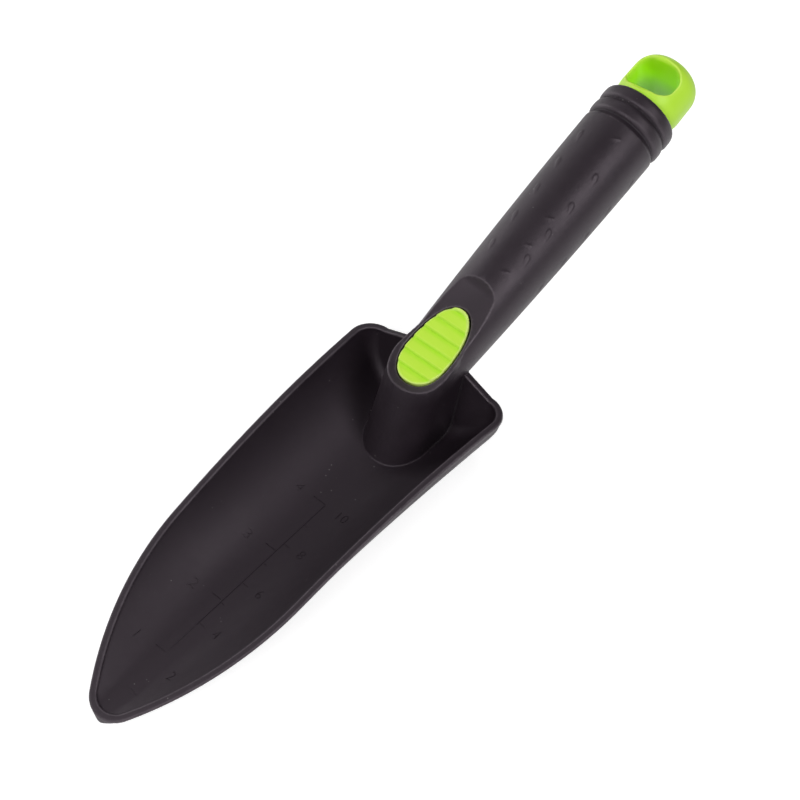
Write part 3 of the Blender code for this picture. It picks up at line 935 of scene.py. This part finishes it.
def thumbPad():
    bm = bmesh.new()
    p = padSizes
    rows = []
    for i in range(p["alongSteps"] + 1):
        turn = pi * (1 - (0.012 + 0.976 * i / p["alongSteps"]))
        s = (p["rear"] if cos(turn) > 0 else p["front"]) * cos(turn) - p["centre"]
        half = p["halfWidth"] * (1 - padShare(s) ** p["power"]) ** (1 / p["power"])
        face = restHeightAt(s, 0.0) + p["proud"] - p["ribStep"] + ribRise(s)
        row = []
        for j in range(p["acrossSteps"] + 1):
            y = half * sin(pi / 2 * (2 * j / p["acrossSteps"] - 1))
            flat = max(1 - padInside(s, y) / p["edge"], 0.0)
            drop = p["edge"] * (1 - sqrt(max(1 - flat**2, 0.0)))
            row.append(bm.verts.new((s, y, face - drop)))
        rows.append(row)
    skin(bm, rows, False)
    border = rows[0] + [row[-1] for row in rows[1:-1]] + rows[-1][::-1] + [row[0] for row in rows[-2:0:-1]]
    low = [bm.verts.new((v.co.x, v.co.y, padBottom)) for v in border]
    skin(bm, [border, low])
    bm.faces.new(low)
    piece = placed("thumbPad", bm, gripAxis @ Matrix.Translation((0.0, p["aside"], 0.0)))
    along, side, up = gripPlaces(readSpots(piece)[0])
    # How low each point lies in its rib step, for painted shade on the steps
    marked(piece, "ribShade", 1 - ribRise(along) / p["ribStep"])
    # Nearness to the pad's rounded edge, for a painted highlight along it
    marked(piece, "border", 1 - smoothStep(0.1, 0.75, padInside(along, side - p["aside"])))
    return marked(piece, "bend", bendAt(piece, *readSpots(piece), 1))


# The hanging cap

capSizes = {
    "length": 21.5,
    "radius": 12.95,
    "draft": 0.3,
    "corner": 8.0,
    "crown": 0.4,
    "turn": radians(8.0),
    "plugLength": 10.0,
    "plugWall": 1.4,
    "plugChamfer": 0.35,
    "holeLength": 12.6,
    "holeWidth": 18.6,
    "holeCorner": 5.0,
    "holeStart": 3.85,
    "holeTaper": 2.4,
    "holeEdge": 1.8,
    "shoulder": 1.5,
    "shoulderReach": 6.0,
    "seatGap": 0.3,
    "voxel": 0.3,
    "mostTriangles": 50000,
    "sharp": 50.0,
}

capStart = gripSizes["length"] + capSizes["seatGap"]
capEnd = gripSizes["length"] + capSizes["length"]


def capRadiusAt(s):
    # The outside, spreading from the seat and tapering a little to the round end
    c = capSizes
    past = s - (capEnd - c["corner"])
    if past > 0:
        return c["radius"] - c["draft"] - c["corner"] + sqrt(max(c["corner"] ** 2 - past**2, 0.0))
    spread = max(1 - (s - capStart) / c["shoulderReach"], 0.0)
    draft = c["draft"] * (s - capStart) / (capEnd - c["corner"] - capStart)
    return c["radius"] - draft - c["shoulder"] * spread**2


def capBody():
    c = capSizes
    plug = boreRadiusAt(gripSizes["length"]) - c["seatGap"]
    plugEnd = gripSizes["length"] - c["plugLength"]
    profile = [(capStart, 0.0), (capStart, plug - c["plugWall"]), (plugEnd, plug - c["plugWall"])]
    profile += [(plugEnd, plug - c["plugChamfer"]), (plugEnd + 2 * c["plugChamfer"], plug)]
    profile += [(capStart, plug)]
    places = [capStart + c["shoulderReach"] * i / 12 for i in range(12)]
    places += [capEnd - c["corner"] * (1 - sine) for sine, _ in quarterTurn(24)]
    profile += [(s, capRadiusAt(s)) for s in places]
    for share in (0.75, 0.5, 0.25, 0.0):
        profile.append((capEnd + c["crown"] * (1 - share**2), capRadiusAt(capEnd) * share))
    return turned("hangingCap", profile)


def slotTool():
    c = capSizes
    bm = bmesh.new()
    centre = gripSizes["length"] + c["holeStart"] + c["holeLength"] / 2
    steps = 14
    # Down the rounded edge in shares of its size, then up out of the cap
    levels = [(depth, False) for depth in (1.0, 0.8, 0.6, 0.45, 0.3, 0.18, 0.08, 0.0, -0.2)] + [(0.0, True)]
    rows = [[] for _ in range(2 * len(levels))]
    for quarter in range(4):
        side = (1, -1, -1, 1)[quarter], (1, 1, -1, -1)[quarter]
        for i in range(steps + 1):
            turn = pi / 2 * (quarter + i / steps)
            out = Vector((cos(turn), sin(turn)))
            s = centre + side[0] * (c["holeLength"] / 2 - c["holeCorner"]) + c["holeCorner"] * out.x
            y = side[1] * (c["holeWidth"] / 2 - c["holeCorner"]) + c["holeCorner"] * out.y
            mouth = sqrt(capRadiusAt(s) ** 2 - y * y)
            for j, (depth, beyond) in enumerate(levels):
                edge = c["holeEdge"] * (1 - sqrt(max(1 - (1 - max(depth, 0.0)) ** 2, 0.0)))
                h = c["radius"] + cutterReach if beyond else mouth - c["holeEdge"] * depth
                place = Vector((s, y)) + out * edge
                narrow = c["holeTaper"] * max(side[0], 0)
                rows[len(levels) + j].append(bm.verts.new((place.x, place.y, h)))
                rows[len(levels) - 1 - j].append(bm.verts.new((place.x - narrow, place.y, -h)))
    loft(bm, rows)
    return placed("slotTool", bm, gripAxis @ Matrix.Rotation(-c["turn"], 4, "X"))


def hangingCap():
    piece = carve(capBody(), slotTool())
    softened(piece, capSizes["voxel"], 3)
    spots, normals = readSpots(piece)
    bend = bendAt(piece, spots, normals, 2)
    thinned(piece, capSizes["mostTriangles"])
    marked(piece, "bend", carriedOver(piece, spots, bend, 0.04))
    along, side, up = gripPlaces(readSpots(piece)[0])
    outside = np.array([capRadiusAt(min(s, capEnd)) for s in along])
    # Inside the slot, for painted light, and toward its lower part, for painted shade
    inside = smoothStep(0.6, 3.0, outside - np.hypot(side, up)) * (along < capEnd - 2.0)
    marked(piece, "inside", inside)
    return marked(piece, "under", inside * smoothStep(3.0, -7.0, up))


# Shader maths: arithmetic on a Wire adds the nodes


def wire(shader, values):
    # Sets or links a node's sockets
    for name, value in values.items():
        if isinstance(value, Wire):
            value.tree.links.new(value.socket, shader.inputs[name])
        else:
            shader.inputs[name].default_value = value


class Wire:
    def __init__(self, tree, socket):
        self.tree = tree
        self.socket = socket

    def node(self, kind, settings=None, values=None, out=0):
        # Any node: its settings first, then the values or links of its sockets
        made = self.tree.nodes.new(kind)
        for name, value in (settings or {}).items():
            setattr(made, name, value)
        wire(made, values or {})
        return Wire(self.tree, made.outputs[out])

    def maths(self, operation, one, two=0.0):
        return self.node("ShaderNodeMath", {"operation": operation}, {0: one, 1: two})

    def __add__(self, other):
        return self.maths("ADD", self, other)

    def __radd__(self, other):
        return self.maths("ADD", other, self)

    def __sub__(self, other):
        return self.maths("SUBTRACT", self, other)

    def __rsub__(self, other):
        return self.maths("SUBTRACT", other, self)

    def __mul__(self, other):
        return self.maths("MULTIPLY", self, other)

    def __rmul__(self, other):
        return self.maths("MULTIPLY", other, self)

    def between(self, low, high, first=0.0, last=1.0):
        # A smooth step from first to last while the value goes from low to high
        values = {"Value": self, "From Min": low, "From Max": high, "To Min": first, "To Max": last}
        return self.node("ShaderNodeMapRange", {"interpolation_type": "SMOOTHSTEP"}, values)

    def noise(self, scale, detail=2.0, roughness=0.5):
        values = {"Vector": self, "Scale": scale, "Detail": detail, "Roughness": roughness}
        return self.node("ShaderNodeTexNoise", None, values)

    def cells(self, scale):
        # Distance to the nearest of many scattered points
        return self.node("ShaderNodeTexVoronoi", None, {"Vector": self, "Scale": scale})

    def tint(self, first, last):
        # From one colour to another by this value. A Mix node's colours are its sockets 6 and 7
        return self.node("ShaderNodeMix", {"data_type": "RGBA"}, {0: self, 6: first, 7: last}, 2)

    def bump(self, strength, height):
        # The surface rises by up to this height in metres where the value is high
        return self.node("ShaderNodeBump", None, {"Strength": strength, "Distance": height, "Height": self})

    def stored(self, name):
        # A number that marked() kept on the mesh
        return self.node("ShaderNodeAttribute", {"attribute_name": name}, None, "Fac")

    def ray(self, kind):
        # 1 for rays of this kind, otherwise 0
        return self.node("ShaderNodeLightPath", None, None, f"Is {kind} Ray")

    def place(self):
        return self.node("ShaderNodeTexCoord", None, None, "Object")


def newFinish(name, looks):
    # A finish with its broad patches, its fine grain and how the mesh bends
    finish = bpy.data.materials.new(name)
    finish.use_nodes = True
    shader = finish.node_tree.nodes["Principled BSDF"]
    place = Wire(finish.node_tree, None).place()
    broad = place.noise(looks["patchScale"], 3.0)
    grain = place.noise(looks["grainScale"], 2.0, 0.6)
    return finish, shader, place, broad, grain, place.stored("bend")


# Noise scales are per metre, and grain is the strength and the height in metres of its bump

blackLooks = {
    "colour": (0.0120, 0.0080, 0.0115, 1.0),
    "faded": (0.0175, 0.0118, 0.0168, 1.0),
    "dust": (0.16, 0.15, 0.15, 1.0),
    # Paler colour on convex edges: partly rubbed wear, partly painted highlight
    "rubbedAndHighlight": (0.066, 0.055, 0.064, 1.0),
    # Near-black in concave creases and grooves: painted shade
    "hollow": (0.004, 0.003, 0.004, 1.0),
    "rubbedAndHighlightShare": 0.75,
    "hollowShare": 0.7,
    "dustShare": 0.6,
    "roughness": (0.40, 0.50),
    "bladeRoughness": 0.09,
    "bladeEdge": (-0.005, 0.025),
    "patchScale": 28.0,
    "mottleScale": 260.0,
    "grainScale": 5200.0,
    "dustScale": 420.0,
    "grain": (0.35, 0.00012),
    "shine": 0.56,
    "shineTint": (1.0, 0.88, 0.975, 1.0),
}


def blackPlastic():
    b = blackLooks
    finish, shader, place, broad, grain, bend = newFinish("moulded black plastic", b)
    mottled = place.noise(b["mottleScale"], 3.0)
    # Convex edges, for a paler colour that is partly rubbed wear and partly painted highlight
    edges = bend.between(0.08, 0.34) * mottled.between(0.3, 0.6, 0.55, 1.0)
    # Concave creases and grooves, for painted shade
    hollows = bend.between(-0.06, -0.3)
    specks = place.cells(b["dustScale"]).between(0.12, 0.07) * place.noise(90.0, 1.0).between(0.60, 0.66)
    colour = (0.55 * broad + 0.45 * mottled - 0.1).tint(b["colour"], b["faded"])
    # Painted shade darkens the concave creases and grooves
    colour = (b["hollowShare"] * hollows).tint(colour, b["hollow"])
    # Painted highlight and rubbed wear along the convex edges
    colour = (b["rubbedAndHighlightShare"] * edges).tint(colour, b["rubbedAndHighlight"])
    colour = (b["dustShare"] * specks).tint(colour, b["dust"])
    alongX = place.node("ShaderNodeSeparateXYZ", None, {"Vector": place}, "X")
    sanded = alongX.between(*b["bladeEdge"], 0.0, b["bladeRoughness"])
    roughness = broad.between(0.3, 0.7, *b["roughness"]) + sanded
    roughness = roughness + 0.08 * mottled - 0.06 * edges + 0.2 * hollows
    bump = (grain + 0.8 * mottled).bump(*b["grain"])
    wire(shader, {"Base Color": colour, "Roughness": roughness, "Normal": bump})
    wire(shader, {"Specular IOR Level": b["shine"], "Specular Tint": b["shineTint"]})
    return finish


rubberLooks = {
    "colour": (0.500, 0.815, 0.034, 1.0),
    # Paler colour in broad patches of tone, and on convex edges, where it is painted highlight
    "pale": (0.580, 0.870, 0.075, 1.0),
    # Deeper green toward the bottom of each rib step: painted shade
    "ribShade": (0.400, 0.790, 0.008, 1.0),
    # Whitish colour along the pad's rounded edge: painted highlight
    "border": (0.720, 0.900, 0.240, 1.0),
    # Darker green in concave creases: painted shade
    "hollow": (0.330, 0.650, 0.010, 1.0),
    "roughness": (0.5, 0.62),
    "patchScale": 120.0,
    "grainScale": 3000.0,
    "grain": (0.3, 0.0001),
}


def limeRubber():
    r = rubberLooks
    finish, shader, place, broad, grain, bend = newFinish("lime rubber", r)
    # Convex edges, for painted highlight
    edges = bend.between(0.1, 0.5)
    ribShade, border = place.stored("ribShade"), place.stored("border")
    # Broad patches of paler tone, and painted highlight on the convex edges
    colour = (0.5 * broad + 0.6 * edges).tint(r["colour"], r["pale"])
    # Painted shade in the lower part of each rib step
    colour = (ribShade.between(0.15, 0.9) * broad.between(0.3, 0.6, 0.5, 0.9)).tint(colour, r["ribShade"])
    # Painted shade in the pad's hollows
    colour = (0.5 * bend.between(-0.1, -0.5)).tint(colour, r["hollow"])
    # Painted highlight along the pad's rounded edge
    colour = (0.75 * border * broad.between(0.3, 0.6, 0.6, 1.0)).tint(colour, r["border"])
    roughness = broad.between(0.3, 0.7, *r["roughness"])
    wire(shader, {"Base Color": colour, "Roughness": roughness, "Normal": grain.bump(*r["grain"])})
    return finish


capLooks = {
    "colour": (0.485, 0.860, 0.032, 1.0),
    # Paler colour in broad patches of tone, and on convex edges, where it is painted highlight
    "pale": (0.630, 0.895, 0.125, 1.0),
    # Deeper, more saturated green inside the slot: painted light passing through the plastic and bouncing
    # between the slot's walls
    "slotLight": (0.430, 0.870, 0.007, 1.0),
    "shaded": (0.330, 0.600, 0.150, 1.0),
    "roughness": (0.34, 0.46),
    "patchScale": 90.0,
    "grainScale": 2200.0,
    "grain": (0.2, 0.0001),
    "shine": 0.3,
}


def limePlastic():
    c = capLooks
    finish, shader, place, broad, grain, bend = newFinish("lime plastic", c)
    # Convex edges, for painted highlight
    edges = bend.between(0.08, 0.34)
    # Broad patches of paler tone, and painted highlight on the convex edges
    colour = (0.5 * broad + 0.5 * edges).tint(c["colour"], c["pale"])
    # Painted light inside the slot: a deeper green for light shining through and bouncing inside
    colour = place.stored("inside").tint(colour, c["slotLight"])
    colour = (0.8 * place.stored("under")).tint(colour, c["shaded"])
    roughness = broad.between(0.3, 0.7, *c["roughness"])
    wire(shader, {"Base Color": colour, "Roughness": roughness, "Normal": grain.bump(*c["grain"])})
    wire(shader, {"Specular IOR Level": c["shine"]})
    return finish


def dressed(piece, node, finish, sharp):
    piece.data.materials.clear()
    piece.data.materials.append(finish)
    piece.data.shade_smooth()
    piece.data.set_sharp_from_angle(angle=radians(sharp))
    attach(piece, "root")
    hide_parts(node)
    print(piece.name, len(piece.data.polygons), "faces")


dressed(scoopAndGrip(), "trowel_moulding", blackPlastic(), blackMesh["sharp"])
dressed(thumbPad(), "thumb_pad", limeRubber(), padSizes["sharp"])
dressed(hangingCap(), "end_cap", limePlastic(), capSizes["sharp"])


# Floor, light and camera

studio = {
    "floorSize": 6.0,
    "floorColour": (0.80, 0.80, 0.80, 1.0),
    "floorRoughness": 0.9,
    "floorGlow": 0.6,
    "farGlow": 1.0,
    "glowReach": (0.35, 1.4),
    "world": 0.05,
    "lampDistance": 1.2,
    "lamps": {
        "rightBox": {"round": 90.0, "up": 45.0, "size": 0.6, "power": 7.2},
        "frontBox": {"round": 0.0, "up": 45.0, "size": 0.8, "power": 7.4},
        "leftBox": {"round": 270.0, "up": 18.0, "size": 0.8, "power": 5.8},
        "backBox": {"round": 225.0, "up": 45.0, "size": 0.8, "power": 1.8},
    },
    "target": Vector((0.0, 0.0, 0.03)),
    "lens": 76.5,
    "sensor": 36.0,
    "nearest": 0.01,
    "cameraPlace": (0.299551, 0.217317, 0.478845),
    "cameraRight": (-0.64694, 0.76187, 0.03188),
    "cameraUp": (-0.58915, -0.52595, 0.61341),
    "cameraBack": (0.48411, 0.37806, 0.78912),
}
white = (1.0, 1.0, 1.0, 1.0)


def floorPlane():
    bm = bmesh.new()
    bmesh.ops.create_grid(bm, x_segments=1, y_segments=1, size=studio["floorSize"] / 2)
    mesh = bpy.data.meshes.new("floor")
    bm.to_mesh(mesh)
    bm.free()
    floor = added("floor", mesh)
    finish = bpy.data.materials.new("pale floor")
    finish.use_nodes = True
    tree = finish.node_tree
    shader = tree.nodes["Principled BSDF"]
    wire(shader, {"Base Color": studio["floorColour"], "Roughness": studio["floorRoughness"]})
    wire(shader, {"Specular IOR Level": 0.0})
    start = Wire(tree, None)
    bounced = start.maths("MAXIMUM", start.ray("Glossy"), start.ray("Transmission"))
    shown = start.maths("MAXIMUM", start.ray("Camera"), bounced)
    away = start.node("ShaderNodeVectorMath", {"operation": "LENGTH"}, {0: start.place()}, "Value")
    strength = shown * away.between(*studio["glowReach"], studio["floorGlow"], studio["farGlow"])
    glow = start.node("ShaderNodeEmission", None, {"Color": white, "Strength": strength})
    both = start.node("ShaderNodeAddShader", None, {0: Wire(tree, shader.outputs[0]), 1: glow})
    wire(tree.nodes["Material Output"], {"Surface": both})
    mesh.materials.append(finish)


def worldLight():
    world = bpy.data.worlds.new("studio")
    bpy.context.scene.world = world
    world.use_nodes = True
    start = Wire(world.node_tree, None)
    shown = start.maths("MAXIMUM", start.ray("Camera"), start.ray("Transmission"))
    strength = studio["world"] + (1 - studio["world"]) * shown
    wire(world.node_tree.nodes["Background"], {"Color": white, "Strength": strength})


def lamp(name, facts):
    light = bpy.data.lights.new(name, "AREA")
    light.shape = "SQUARE"
    light.size = facts["size"]
    light.energy = facts["power"]
    made = added(name, light)
    around, up = radians(facts["round"]), radians(facts["up"])
    toward = Vector((cos(around) * cos(up), sin(around) * cos(up), sin(up)))
    made.location = studio["target"] + toward * studio["lampDistance"]
    made.rotation_euler = toward.to_track_quat("Z", "Y").to_euler()


def photoCamera():
    lens = bpy.data.cameras.new("camera")
    lens.lens = studio["lens"]
    lens.sensor_width = studio["sensor"]
    lens.clip_start = studio["nearest"]
    camera = added("camera", lens)
    turn = Matrix([studio[name] for name in ("cameraRight", "cameraUp", "cameraBack")]).transposed()
    x, y, z = studio["cameraPlace"]
    camera.matrix_world = Matrix.Translation((x + shiftX * mm, y, z)) @ turn.to_4x4()
    bpy.context.scene.camera = camera


floorPlane()
worldLight()
for lampName, lampFacts in studio["lamps"].items():
    lamp(lampName, lampFacts)
photoCamera()
bpy.context.scene.view_settings.view_transform = "Standard"
print("studio ready")
